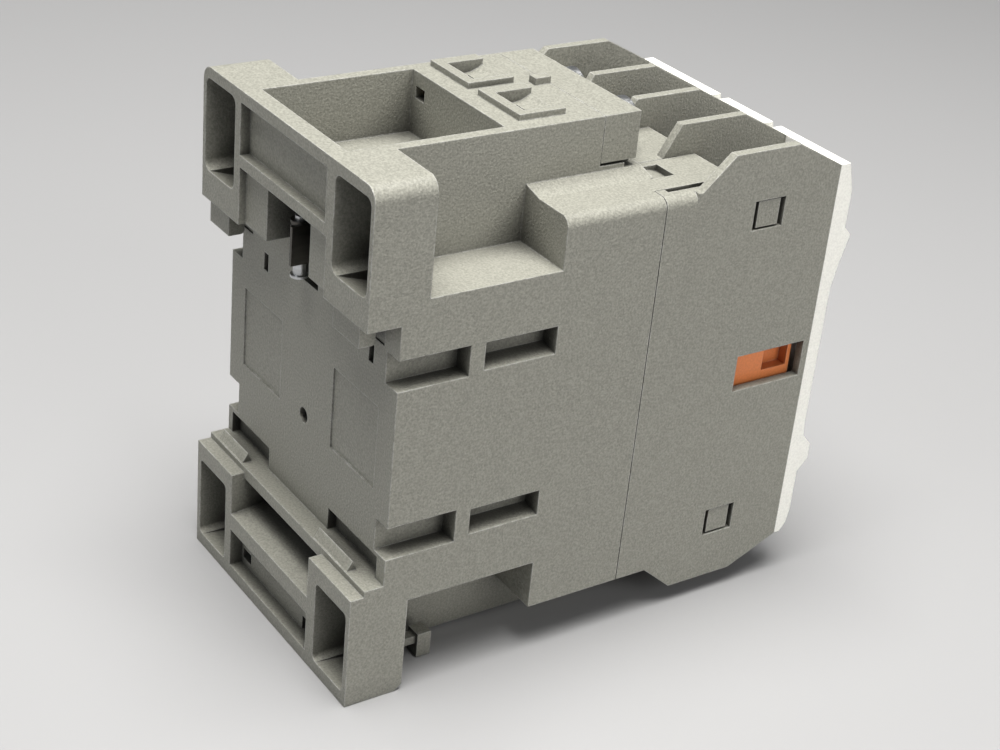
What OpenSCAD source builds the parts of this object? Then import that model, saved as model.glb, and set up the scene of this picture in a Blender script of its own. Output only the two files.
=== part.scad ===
// Four-pole DIN rail contactor: three main poles and one auxiliary pole, alternating-current coil.
// Frame: origin on the rail seat at the centre of the rail. +Z is up, towards the coil terminals.
// +Y points into the rail and the panel, so the front cover faces -Y. Depths d run forward: y = -d.

/* [Rail and feet] */
// Width of the rail across its flanges
rail_w = 35; // [35:0.5:36]
// Thickness of the rail's flange
rail_t = 1; // [0.8:0.1:1.2]
// How far the feet stand behind the rail seat
foot_proud = 4.85; // [4:0.05:6]
// Thickness of the feet from back to front
foot_t = 8.7; // [7.5:0.1:10.5]
// Room above the rail for the sprung stud and for hooking in
rail_room = 3; // [2.5:0.1:4]
// Height of the lower foot
lower_foot_h = 17.1; // [15:0.1:20]
// Radius of a panel mounting hole
mount_r = 2.25; // [1.8:0.05:2.4]
// Mounting hole spacing across
mount_dx = 35; // [35:0.5:36]
// Mounting hole spacing up and down
mount_dz = 60; // [59:0.5:60]

/* [Poles] */
// Clear width of one pole's bay
bay_w = 8.9; // [7.4:0.1:12]
// Thickness of the barriers between poles
barrier_t = 1.3; // [1:0.1:1.6]
// Thickness of the outer side walls
wall = 1.35; // [1.2:0.05:1.6]
// Thickness of the latch arms inside the side walls
latch_t = 1.4; // [1.2:0.1:1.6]
// Radius of the shank of a pole's terminal screw
screw_r = 1.75; // [1.5:0.05:2]
// Radius of the head of a pole's terminal screw
screw_head_r = 3.1; // [2.6:0.1:3.4]

/* [Casing] */
// Depth of the base from the rail seat to its joint with the front housing
base_d = 39.15; // [38.5:0.05:48]
// Depth of the front housing
front_len = 30.1; // [29.5:0.1:37]
// Thickness of the front cover
cover_t = 2.4; // [2:0.1:3]
// Height of the coil terminal box above the rail centre
top_z = 39.25; // [38:0.05:44]
// Thickness of inner floors and webs
web = 1.4; // [1.2:0.1:1.8]

/* [Magnet] */
// Height of the laminated core
core_h = 36; // [33:0.5:37]
// Stack thickness of the core
core_t = 12; // [10:0.5:13]
// Depth of the core's legs
leg_len = 14; // [12:0.5:14.5]
// Width of the core's centre leg
centre_leg = 9; // [7.5:0.5:10]
// Width of each outer leg
outer_leg = 5.5; // [4.5:0.5:6]
// Thickness of the core's back
core_back = 6; // [5:0.5:6]

/* [Motion] */
// Travel of the armature and the contact carrier
travel = 4.5; // [3.5:0.1:5]
// Gap between open contact tips
contact_gap = 3.7; // [2.8:0.1:4]
// Travel of the sprung rail stud
stud_travel = 2.2; // [1.8:0.1:2.4]

/* [Clearances] */
// Radial clearance of a pin in its bore
pin_fit = 0.05; // [0.03:0.01:0.1]
// Gap between pieces that slide past each other
slide_gap = 0.4; // [0.3:0.05:0.6]
// Gap between fixed pieces that drop in place
seat_gap = 0.1; // [0.05:0.05:0.2]
// Gap left where moving faces close on fixed ones
close_gap = 0.05; // [0.02:0.01:0.1]

/* [Hidden] */
$fn = 48;

GREY = [0.50, 0.50, 0.46];
CREAM = [0.90, 0.90, 0.84];
ORANGE = [0.72, 0.33, 0.15];
STEEL = [0.72, 0.72, 0.70];
IRON = [0.45, 0.46, 0.48];
COPPER = [0.72, 0.45, 0.25];
BRASS = [0.78, 0.66, 0.36];
SILVER = [0.86, 0.86, 0.84];
RUBBER = [0.12, 0.12, 0.12];
NYLON = [0.20, 0.21, 0.22];
ZINC = [0.74, 0.75, 0.76];

eps = 0.01;

// Widths, from the poles outwards
inner_x = barrier_t / 2 + bay_w + barrier_t + bay_w + latch_t; // inner face of a side wall
half_w = inner_x + wall;
pole_step = bay_w + barrier_t;
POLE_X = [for (i = [0:3]) (i - 1.5) * pole_step];
BARRIER_X = [for (i = [-1:1]) i * pole_step];
slot_deep = 3; // side slots
slot_wall = 1.2;
chamber_x = half_w - slot_deep - slot_wall; // half width of the magnet chamber
box_x = 12.7; // half width of the coil terminal box
box_wall = 1.6;
box_in_x = box_x - box_wall;

// Heights
ledge_z = -rail_w / 2; // the rail's lower edge rests here
lip_z = ledge_z - 0.9;
foot_z = rail_w / 2 + rail_room; // underside of the upper foot
bottom_z = lip_z - lower_foot_h;
bay_z = foot_z + 3.1; // floor of the upper side bays
shoulder_z = foot_z + 10.3;
low_bay_z = ledge_z - 3.4;
low_shoulder_z = ledge_z - 10.8;
mid_z = (shoulder_z + low_shoulder_z) / 2 + 0.15; // centre line of the poles and the magnet
barrier_rise = 4.5;
barrier_fall = 4.3;
front_top_z = shoulder_z + 0.3;
front_low_z = low_shoulder_z - 0.6;

// Depths
foot_rear = -foot_proud;
foot_front = foot_t - foot_proud;
shoulder_d = base_d - 15.65;
low_shoulder_d = base_d - 15.15;
block_d = base_d - 4; // rear of the coil terminal block
seam = 0.12; // shows as a fine dark line
front_d = base_d + front_len;
cover_d = front_d + cover_t;
deck_d = base_d + 6.85; // floor of the contact chamber
deck_t = 1.4;
strip_d = base_d + 12.85; // rear of the fixed contact strips
strip_t = 1.5;
tip_t = 1;
tip_r = 1.9;

// Magnet
floor_d = 2.2; // front of the rail seat's wall
core_d = 5.35; // rear of the fixed core
pole_face_d = core_d + core_back + leg_len;
armature_leg = 4;
armature_back = 5;
armature_d = pole_face_d + travel + close_gap;
armature_front = armature_d + armature_leg + armature_back;
flange_x = chamber_x - 0.7;
flange_z = core_h / 2 - outer_leg - 0.3;
flange_t = 1.4;
bobbin_d = core_d + core_back + 0.2;
bobbin_front = pole_face_d - 0.15;
return_r = 2.4;
return_x = (core_t / 2 + flange_x) / 2 + 0.6;

// Carrier
plate_gap = 0.45;
plate_d = armature_front + plate_gap;
plate_t = 3;
plate_x = flange_x - 3.4;
beam_x = inner_x - slide_gap;
beam_half = 3.3;
beam_d = deck_d + deck_t + travel + slide_gap + 0.1;
beam_front = front_d - 1.65;
beam_wall = 1.6;
post_x = 8;
lug_t = 2;
pin_r = 1.5;
pin_d = armature_front - armature_back / 2 + 0.1;
bridge_t = 1;
bridge_w = 6;
bridge_half = 8.2;
tip_z = 6.6;
bridge_d = strip_d + strip_t + tip_t + contact_gap + close_gap + tip_t;
window_d = bridge_d - 0.3;
window_front = beam_front - beam_wall;
window_half = bridge_w / 2 + 0.3;
spring_r = 2;

// Terminals
term_z = 22.6; // the screw axis above or below the middle
strip_half = 3;
strip_in = 4.4;
strip_out = term_z + 4.2;
clamp_gap = 1.9; // room for the wire
clamp_d = strip_d + strip_t + clamp_gap;
clamp_t = 1;
clamp_half = 3.5;
head_t = 2.8;
nut_half = 3;
nut_t = 2.4;
nut_d = strip_d - nut_t - seat_gap;
nut_wall = 3.3;
driver_r = screw_head_r + 0.5;

// Coil terminals
COIL_X = [-5.3, 6.65];
coil_z = 35.6;
coil_screw_r = 1.5;
coil_head_r = 2.6;
coil_nut_half = 2.2;
coil_face_d = base_d + 1.05;
strap_t = 0.8;
strap_d = bobbin_front + 0.8;
turn_z = shoulder_z + 1.7; // height at which the straps turn forward

// Rail stud and saddle
saddle_x = -1.3; // near face of the saddle's web
saddle_t = 0.5;
saddle_rear = -3.85;
saddle_low = foot_z - 0.6;
saddle_top = saddle_low + 5.5;
stud_x = 0.65;
stud_d = -1.5;
stud_r = 0.85;
stud_head_r = 1.2;
stud_head_t = 0.35;
stud_low = saddle_low - stud_travel - close_gap - stud_head_t; // underside of the head
recess_x = 11.6;
recess_top = foot_z + 8.2;
recess_d = 3.65;
block_rear = foot_rear + 1.05; // rear of the blocks beside the saddle
CHANNEL_X = [-5.9, 5.6];

// Places a block by its limits: across, forward from the rail seat, and up
module slab(x0, x1, d0, d1, z0, z1) {
  translate([x0, -d1, z0]) cube([x1 - x0, d1 - d0, z1 - z0]);
}
// The same block on both sides of the middle
module slab_pair(x0, x1, d0, d1, z0, z1) {
  slab(x0, x1, d0, d1, z0, z1);
  slab(-x1, -x0, d0, d1, z0, z1);
}
// Extrudes a side outline, drawn as (depth, height), between two places across
module side_extrude(x0, x1) {
  translate([x0, 0, 0]) rotate([90, 0, 90]) linear_extrude(x1 - x0) mirror([1, 0, 0]) children();
}
// Extrudes a front outline, drawn as (across, height), between two depths
module front_extrude(d0, d1) {
  translate([0, -d0, 0]) rotate([90, 0, 0]) linear_extrude(d1 - d0) children();
}
// A round bar or hole that runs forward
module rod_d(x, z, r, d0, d1) {
  translate([x, -d0, z]) rotate([90, 0, 0]) cylinder(r = r, h = d1 - d0);
}
// A round bar or hole that runs across
module rod_x(d, z, r, x0, x1) {
  translate([x0, -d, z]) rotate([0, 90, 0]) cylinder(r = r, h = x1 - x0);
}
// A plain rectangle with round corners, drawn by its limits
module round_rect(x0, x1, z0, z1, r) {
  translate([x0 + r, z0]) square([x1 - x0 - 2 * r, z1 - z0]);
  translate([x0, z0 + r]) square([x1 - x0, z1 - z0 - 2 * r]);
  for (x = [x0 + r, x1 - r], z = [z0 + r, z1 - r]) translate([x, z]) circle(r);
}
// Cuts a rounded edge along the depth: the corner is at (x, z), and it turns towards (sx, sz)
module edge_cut(x, z, sx, sz, r, d0, d1) {
  front_extrude(d0, d1) difference() {
    translate([x - (sx > 0 ? r : 1), z - (sz > 0 ? r : 1)]) square(r + 1);
    translate([x - sx * r, z - sz * r]) circle(r);
  }
}
// A closed coil spring that stands on the XY plane
function coil_ring(i, seg, turns, len, r, w, sides) =
  let (a = 360 * i / seg, h = w / 2 + (len - w) * i / (seg * turns))
  [for (k = [0:sides - 1]) let (b = 360 * k / sides)
    [(r + w / 2 * cos(b)) * cos(a), (r + w / 2 * cos(b)) * sin(a), h + w / 2 * sin(b)]];
module coil_spring(len, r, w, turns, seg = 12, sides = 6) {
  rings = floor(seg * turns);
  points = [for (i = [0:rings]) each coil_ring(i, seg, turns, len, r, w, sides)];
  walls = [for (i = [0:rings - 1], k = [0:sides - 1])
    let (a = i * sides + k, b = i * sides + (k + 1) % sides)
    each [[a, b, b + sides], [a, b + sides, a + sides]]];
  first = [for (k = [1:sides - 2]) [0, k + 1, k]];
  last = rings * sides;
  final = [for (k = [1:sides - 2]) [last, last + k, last + k + 1]];
  polyhedron(concat(points), concat(walls, first, final), convexity = 8);
}
module spring_d(x, z, d0, d1, r, w, turns) {
  translate([x, -d0, z]) rotate([90, 0, 0]) coil_spring(d1 - d0, r, w, turns);
}

// ---- Casing ----

// The ears and the middle of the upper foot, seen from behind
module upper_foot() {
  difference() {
    front_extrude(foot_rear, foot_front) round_rect(-half_w, half_w, foot_z, top_z, 2);
    slab(-box_in_x, box_in_x + 0.6, foot_rear - eps, foot_rear + 1.45, recess_top + 1.65, top_z - 1.65);
    slab(-recess_x, recess_x, foot_rear - 1, block_rear, foot_z - 1, recess_top);
    for (side = [-1, 1]) {
      front_extrude(foot_rear - eps, foot_front - 2)
        round_rect(side * mount_dx / 2 - 4.3, side * mount_dx / 2 + 4.3, foot_z + 4.2, top_z - 1.55, 1.2);
      pocket_slope(side * mount_dx / 2, 3, foot_z + 4.2, 2.1);
      rod_d(side * mount_dx / 2, upper_hole_z, mount_r, foot_front - 3, foot_front + 1);
    }
  }
  // square the lower corners of the ears
  slab_pair(half_w - 3, half_w, foot_rear, foot_front, foot_z, foot_z + 3);
  // hooks that hang behind the rail's upper flange
  front = -rail_t - 0.18;
  tip_z = rail_w / 2 - 1.15;
  for (x = HOOK_X) side_extrude(x[0], x[1])
    polygon([[front - 2.35, foot_z + eps], [front - 2.35, tip_z], [front - 0.5, tip_z],
      [front - 0.15, tip_z + 0.15], [front, tip_z + 0.5], [front, foot_z + eps]]);
}
HOOK_X = [[-18.55, -11.95], [16.9, half_w]];
// Floor of an ear's hollow that falls towards the front
module pocket_slope(x, half, z, fall) {
  side_extrude(x - half, x + half)
    polygon([[foot_rear - eps, z], [foot_rear - eps, z + 0.5], [foot_front - 2, z + 0.5],
      [foot_front - 2, z - fall]]);
}
upper_hole_z = foot_z + 10.8;
lower_hole_z = upper_hole_z - mount_dz;

module lower_foot() {
  difference() {
    union() {
      slab(-half_w, half_w, foot_rear, foot_front + 0.1, bottom_z, lip_z);
      slab(-half_w, half_w, foot_rear + 2, foot_front, lip_z - 1, ledge_z);
    }
    for (side = [-1, 1]) {
      front_extrude(foot_rear - eps, foot_front - 2)
        round_rect(side * mount_dx / 2 - 4.1, side * mount_dx / 2 + 4.1, bottom_z + 1.9, lip_z - 2.7, 0.8);
      pocket_slope(side * mount_dx / 2, 3.2, bottom_z + 1.9, 0.8);
      rod_d(side * mount_dx / 2, lower_hole_z, mount_r, foot_front - 3, foot_front + 1);
    }
    // the middle is hollow above a rib, and open upwards behind the ledge
    shelf_z = bottom_z + 10.65;
    side_extrude(-recess_x + 0.4, recess_x)
      polygon([[foot_rear - eps, shelf_z], [foot_front - 1, shelf_z + 1], [foot_front - 1, lip_z - 0.9],
        [foot_rear + 2, lip_z - 0.9], [foot_rear + 2, lip_z + 1], [foot_rear - eps, lip_z + 1]]);
    slab(-recess_x + 0.4, recess_x, foot_rear - eps, foot_rear + 2, bottom_z + 2, shelf_z - 2.6);
    // core-side slots behind the lower pocket
    slab(8.8, 11.2, foot_rear, foot_rear + 5, bottom_z + 3, bottom_z + 4.6);
    slab(-8.4, -6.8, foot_rear, foot_rear + 5, bottom_z + 2, bottom_z + 4.2);
    front_edge = foot_front + 0.1;
    side_extrude(-half_w - eps, half_w + eps)
      polygon([[front_edge - 1, bottom_z - eps], [front_edge + eps, bottom_z + 1],
        [front_edge + 1, bottom_z - 1]]);
  }
  // lips that snap behind the rail's lower flange
  lip_gap = rail_t + 0.15;
  for (x = LIP_X) side_extrude(x[0], x[1])
    polygon([[-lip_gap - 1.45, ledge_z - eps], [-lip_gap, ledge_z - eps], [-lip_gap - 0.6, ledge_z + 1.4]]);
  // release tongue in front of the foot
  tongue_x = -half_w + 5;
  slab(tongue_x + 0.5, tongue_x + 2, foot_front, foot_front + 5.6, bottom_z + 2.2, bottom_z + 3.4);
  slab(tongue_x, tongue_x + 2.5, foot_front + 5.5, foot_front + 7.7, bottom_z + 0.1, bottom_z + 3.9);
}

LIP_X = [[-17.4, -8.4], [12.8, 20.3]];

// Decks of the two outer bays, which reach into the front housing; gap is 0 or the room around them
module outer_decks(gap) {
  slab_pair(pole_step + barrier_t / 2 + seat_gap - gap, inner_x - 1.7 + gap, base_d - eps, deck_end + gap,
    shoulder_z - web - gap, shoulder_z + (gap > 0 ? 1 : 0));
}

// Open slots in both sides of the base, one pair above and one pair below the middle
module side_slots() {
  for (side = [0, 1]) mirror([side, 0, 0]) {
    x0 = half_w - slot_deep;
    slab(x0, half_w + 1, -1, 10.45, 11.35, 15.75);
    slab(x0, half_w + 1, -1, 10.45, -13.5, -8.6);
    for (z = [[12.3, 15.7], [-12.4, -9.1]])
      front_extrude(12.7, 23.7)
        polygon([[x0, z[0]], [half_w + 1, z[0] - 0.8], [half_w + 1, z[1]], [x0, z[1]]]);
  }
}

// Arms that reach forward inside the front housing, each with a lug for a side window
module latch_arms() {
  x1 = inner_x - seat_gap;
  for (side = [0, 1], low = [0, 1]) mirror([side, 0, 0]) {
    z0 = low ? low_window_z + 0.3 : up_window_z + 0.3;
    z1 = z0 + window_h - 0.45;
    slab(inner_x - latch_t, inner_x + eps, base_d - 9, base_d - 0.3, z0, z1);
    slab(inner_x - latch_t, x1, base_d - 1, lug_d + lug_len, z0, z1);
    slab(x1 - eps, half_w - 0.15, lug_d, lug_d + lug_len, z0, z1);
  }
}
window_h = 4.3;
window_len = 5.3;
up_window_z = mid_z + 22.3;
low_window_z = mid_z - 22.3 - window_h;
window_d0 = base_d + 15.4;
lug_d = window_d0 + 0.7;
lug_len = window_len - 1.5;

module base_housing() {
  color(GREY) difference() {
    union() {
      slab(-half_w, half_w, 0, base_d, low_bay_z, bay_z);
      difference() {
        slab(-half_w, half_w, shoulder_d, base_d, bay_z - eps, shoulder_z);
        for (side = [-1, 1]) edge_cut(side * half_w, shoulder_z, side, 1, 1.5, shoulder_d - 1, base_d + 1);
      }
      slab(-half_w, half_w, low_shoulder_d, base_d, low_shoulder_z, low_bay_z + eps);
      slab(-box_x, box_x, foot_front - 1, block_d, bay_z - eps, top_z);
      slab(-box_x, box_x, block_d - eps, base_d, bay_z - eps, shoulder_z + 1.4);
      slab(-box_x, box_x, foot_front - 1, base_d, bottom_z + 0.35, low_bay_z + eps);
      outer_decks(0);
      // the shoulders rise a little beside the coil terminal box
      for (side = [0, 1]) mirror([side, 0, 0]) front_extrude(shoulder_d, base_d + 2.7)
        polygon([[box_x - 1.6, shoulder_z - 0.5], [box_x - 1.6, shoulder_z + 0.75], [box_x + 0.1, shoulder_z + 0.75],
          [box_x + 3.2, shoulder_z], [box_x + 3.2, shoulder_z - 0.5]]);
      upper_foot();
      lower_foot();
      collars();
    }
    // magnet chamber, open to the front
    chamber_low = low_bay_z + web + 0.4;
    chamber_top = bay_z - web - 0.4;
    slab(-chamber_x, chamber_x, floor_d, base_d + 1, chamber_low, rail_w / 2 - 3);
    slab(-chamber_x, chamber_x, recess_d + web, base_d + 1, rail_w / 2 - 4, chamber_top);
    // hollows of the shoulders
    slab(-inner_x, inner_x, shoulder_d + web, base_d + 1, bay_z + web - 0.4, shoulder_z - web);
    slab(-inner_x, inner_x, low_shoulder_d + web, base_d + 1, low_shoulder_z + web, low_bay_z - web + 0.4);
    // coil terminal compartment and the pocket behind it
    slab(-box_in_x, box_in_x, pocket_front + 1.2, base_d + 1, bay_z + web, shoulder_z + 0.2);
    slab(-box_in_x, box_in_x, pocket_front + 1.2, block_d + 1, bay_z + web, top_z - 1.3);
    slab(-box_in_x, box_in_x, foot_rear + 2.65, pocket_front, recess_top + 1.65, top_z + 1);
    slab(7.9, 10.1, pocket_front - 1, pocket_front + 2, top_z - 3.75, top_z - 2.05);
    slab(-box_in_x, box_in_x, foot_front + 6, base_d + 1, bottom_z + 2, low_bay_z - web);
    coil_openings();
    side_slots();
    // channel for the saddle, with a shallow hollow under the stud
    slab(CHANNEL_X[0], CHANNEL_X[1], foot_rear - 1, recess_d, recess_low, recess_top);
    slab(-1.8, 3.1, -1, 1.2, rail_w / 2 - 1.6, recess_low + eps);
    // the seat is set back beside the hooks and the lips, and has a slit below each hook
    for (x = HOOK_X) slab(x[0] - 0.3, x[1] + 0.3, -0.5, 0.15, rail_w / 2 - 1.3, foot_z + eps);
    for (x = [-16.5, 11.95]) slab(x, x + 1.2, -1, 1.5, rail_w / 2 - 5, rail_w / 2 - 2.45);
    for (x = LIP_X) slab(x[0] - 3, x[1] + 1, -0.5, 1.3, ledge_z, ledge_z + 3.4);
    // marking recesses on the outer decks
    for (side = [0, 1]) mirror([side, 0, 0]) side_extrude(pole_step + 2, pole_step + 5.8)
      polygon([[base_d + 2, shoulder_z + eps], [base_d + 6, shoulder_z + eps], [base_d + 6, shoulder_z - 0.9]]);
    // label panels and a small drain hole
    slab(-18.4, -6.9, -1, 0.25, -4.8, 7.2);
    slab(7.4, 18.4, -1, 0.25, -4.8, 7.2);
    rod_d(0.5, -3.8, 1.1, -1, floor_d + 1);
    // ways for the coil straps
    for (x = COIL_X) {
      slab(strap_x(x) - 2, strap_x(x) + 2, strap_d - 1, strap_d + 1.8, bay_z - 3, turn_z + strap_t + 0.5);
      slab(min(strap_x(x), x) - 2, max(strap_x(x), x) + 2, strap_d - 1, max(strap_d + 1.8, pocket_front + 2),
        turn_z - 0.5, turn_z + strap_t + 0.5);
    }
  }
  color(GREY) latch_arms();
}
recess_low = saddle_low - seat_gap;
deck_end = strip_d + 0.65;
pocket_front = block_d - 14.75;
function strap_x(x) = sign(x) * (core_t / 2 + 2.7);

// Three-sided collars around the coil wire entries, and the stop between them
module collars() {
  collar_h = 0.85;
  d0 = block_d - 11.9;
  d1 = block_d - 4.7;
  for (x = [[-10.2, -0.4], [1.9, 11.4]]) difference() {
    slab(x[0], x[1], d0, d1, top_z - eps, top_z + collar_h);
    slab(x[0] + 1.2, x[1] - 1.9, d0 + 1.5, d1 + 1, top_z - 1, top_z + collar_h + 1);
  }
  slab(0, 1.5, block_d - 2.5, block_d, top_z - eps, top_z + 1);
}
// Wire funnels that lead down to the coil terminals
module coil_openings() {
  d0 = block_d - 11.9;
  for (x = [[-10.2, -0.4], [1.9, 11.4]]) {
    x0 = x[0] + 1.2;
    x1 = x[1] - 1.9;
    side_extrude(x0, x1)
      polygon([[d0 + 1.5, top_z + eps], [d0 + 1.5, top_z - 0.9], [d0 + 4.4, top_z - 0.9], [d0 + 5.5, top_z - 0.75],
        [d0 + 6.5, top_z - 0.35], [d0 + 7.1, top_z + eps]]);
    slab(x0 + 0.9, x1 - 0.9, d0 + 1.9, d0 + 4.4, top_z - 3, top_z);
  }
}

// Side outline of the front housing: the slopes start at rise_d above and at fall_d below
function front_outline(rise_d, fall_d) = [
  [base_d + seam, low_shoulder_z], [base_d + seam, shoulder_z], [rise_d, shoulder_z],
  [base_d + 10.85, shoulder_z + barrier_rise], [base_d + 21.85, shoulder_z + barrier_rise],
  [front_d, front_top_z], [front_d, front_low_z],
  [base_d + 21.6, low_shoulder_z - barrier_fall], [base_d + 10.3, low_shoulder_z - barrier_fall],
  [fall_d, low_shoulder_z]
];
module chamber_walls() {
  // upper and lower walls of the contact chamber, with ways for the contact strips
  for (low = [0, 1]) {
    z0 = low ? mid_z - arc_z - web : mid_z + arc_z;
    difference() {
      slab(-inner_x, inner_x, deck_d, front_d, z0, z0 + web);
      for (x = POLE_X)
        slab(x - strip_half - 0.2, x + strip_half + 0.2, strip_d - 0.2, strip_d + strip_t + 0.3, z0 - 1, z0 + 3);
    }
  }
}
arc_z = 13; // inner faces of the contact chamber above and below the middle

module front_housing() {
  color(GREY) difference() {
    union() {
      for (side = [0, 1]) mirror([side, 0, 0]) difference() {
        side_extrude(inner_x, half_w) polygon(front_outline(base_d + 5.85, base_d + 5.25));
        edge_cut(half_w, shoulder_z, 1, 1, 1.5, base_d, base_d + 5.2);
      }
      for (x = BARRIER_X) intersection() {
        side_extrude(x - barrier_t / 2, x + barrier_t / 2)
          polygon(front_outline(base_d + 8.05, base_d + 7.45));
        slab(-inner_x, inner_x, deck_d, front_d + 1, -100, 100);
      }
      // decks at the height of the shoulders, and the floor of the contact chamber
      slab(-inner_x - eps, inner_x + eps, base_d + seam, deck_end, shoulder_z - web, shoulder_z);
      slab(-inner_x - eps, inner_x + eps, base_d + seam, deck_end, low_shoulder_z, low_shoulder_z + web);
      slab(-inner_x - eps, inner_x + eps, deck_d, deck_d + deck_t, low_shoulder_z + eps, shoulder_z - eps);
      chamber_walls();
      // walls that carry the terminals
      for (z = [[mid_z + arc_z, shoulder_z], [low_shoulder_z, mid_z - arc_z]])
        slab(-inner_x - eps, inner_x + eps, strip_d - seat_gap - nut_wall, strip_d - seat_gap, z[0], z[1]);
      // posts that hold the coil down
      for (side = [-1, 1], z = [-1, 1])
        slab(side * (flange_x - 1.3) - 1.1, side * (flange_x - 1.3) + 1.1, bobbin_front, deck_d + eps,
          mid_z + z * 10 - 2, mid_z + z * 10 + 2);
      // step under the coil terminal block
      slab(-pole_step, pole_step, base_d + seam, base_d + 2.7, shoulder_z - eps, shoulder_z + 1.4);
    }
    outer_decks(seat_gap);
    // room for the moving carrier and its post
    slab(-beam_x - slide_gap - eps, beam_x + slide_gap + eps, deck_d + deck_t, front_d + 1,
      mid_z - beam_half - slide_gap, mid_z + beam_half + slide_gap);
    slab(-post_x - slide_gap, post_x + slide_gap, deck_d - 1, front_d + 1,
      mid_z - beam_half - slide_gap, mid_z + beam_half + slide_gap);
    // nut pockets
    for (x = POLE_X, z = [term_z, -term_z])
      slab(x - nut_half - seat_gap, x + nut_half + seat_gap, nut_d, strip_d, mid_z + z - nut_half - seat_gap,
        mid_z + z + nut_half + seat_gap);
    for (side = [0, 1]) mirror([side, 0, 0]) {
      // side windows for the latch lugs and for the carrier, with ways for the latch arms
      for (z = [up_window_z, low_window_z]) {
        slab(inner_x - 1, half_w + 1, window_d0, window_d0 + window_len, z, z + window_h);
        slab(inner_x - latch_t - seat_gap, inner_x, base_d, window_d0 + 1, z, z + window_h);
      }
      slab(inner_x - 1, half_w + 1, base_d + 16.7, front_d - 1.1, mid_z - 2.8, mid_z + 2.8);
      slab(inner_x - 1.7, inner_x - 0.7, base_d + 1.6, base_d + 8.3, shoulder_z - 1, shoulder_z + 1);
    }
  }
}

// Side outline of the cover with its two finger ridges, as (depth, height)
cover_ridge = 1.7;
module front_cover() {
  up = mid_z + 11.4;
  low = mid_z - 13.8;
  color(CREAM) difference() {
    union() {
      side_extrude(-half_w, half_w) polygon([
        [front_d, front_low_z], [front_d + 1, front_low_z], [cover_d - 0.4, front_low_z + 1.4],
        [cover_d, front_low_z + 3.5], [cover_d, low - 6.2], [cover_d + cover_ridge, low - 4.3],
        [cover_d + cover_ridge, low - 1.9], [cover_d, low], [cover_d - 0.2, low + 2], [cover_d - 0.2, up - 1],
        [cover_d + 0.6, up + 3], [cover_d + cover_ridge, up + 6.7], [cover_d + cover_ridge, up + 7.2],
        [cover_d + 0.5, up + 8.4], [cover_d + 0.5, up + 14], [cover_d - 0.7, front_top_z],
        [front_d, front_top_z]
      ]);
      // legs that hold the cover in the front housing
      for (z = [mid_z + 4.9, mid_z - 8.1])
        slab_pair(inner_x - 1.2, inner_x - seat_gap, front_d - 6, front_d + eps, z, z + 3.2);
    }
    for (x = POLE_X, z = [term_z, -term_z]) rod_d(x, mid_z + z, driver_r, front_d - 1, cover_d + 3);
    // window for the carrier's nose
    slab(-nose_x - 0.6, nose_x + 0.6, front_d - 1, cover_d + 3, mid_z - beam_half - 0.6, mid_z + beam_half + 0.6);
    // notches in the upper and lower edges
    for (x = [-6.9, 5], z = [[front_top_z - 1.4, front_top_z + 1], [front_low_z - 1, front_low_z + 1.4]])
      slab(x - 0.9, x + 0.9, front_d - 1, cover_d + 3, z[0], z[1]);
    // shallow panel for a marking strip
    slab(-half_w + 3, half_w - 3, cover_d - 0.7, cover_d + 3, mid_z - 11.5, mid_z - 6.5);
  }
}
nose_x = 4.5;

module coil_terminal_block() {
  z0 = shoulder_z + 1.8;
  front = base_d + 1.8;
  color(GREY) difference() {
    slab(-box_x, box_x, block_d + 0.05, front, z0, top_z);
    for (x = COIL_X) {
      slab(x - 3.6, x + 3.6, coil_face_d - strap_t - seat_gap, front + 1, z0 - 1, top_z - 1.1);
      slab(x - 3.2, x + 3.2, block_d - 1, coil_face_d, z0 - 1, coil_z - 1.4);
      slab(x - 2.8, x + 2.8, coil_face_d - strap_t - 2.6, coil_face_d, z0 - 1, coil_z + 2.8);
    }
  }
}

// ---- Magnet ----

// E-shaped outline in (depth, height) with its back at d0; dir is 1 for legs that reach forward
module e_outline(d0, back, leg, dir) {
  h = core_h / 2;
  polygon([for (p = [
    [0, -h], [back + leg, -h], [back + leg, outer_leg - h], [back, outer_leg - h],
    [back, -centre_leg / 2], [back + leg, -centre_leg / 2], [back + leg, centre_leg / 2],
    [back, centre_leg / 2], [back, h - outer_leg], [back + leg, h - outer_leg], [back + leg, h], [0, h]
  ]) [d0 + dir * p[0], mid_z + p[1]]]);
}
module fixed_core() {
  color(IRON) difference() {
    side_extrude(-core_t / 2, core_t / 2) e_outline(core_d, core_back, leg_len, 1);
    for (side = [-1, 1]) slab(-core_t, core_t, pole_face_d - 2.05, pole_face_d - 0.75,
      mid_z + side * (core_h / 2 - 2.8) - 0.65, mid_z + side * (core_h / 2 - 2.8) + 0.65);
  }
}
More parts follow.
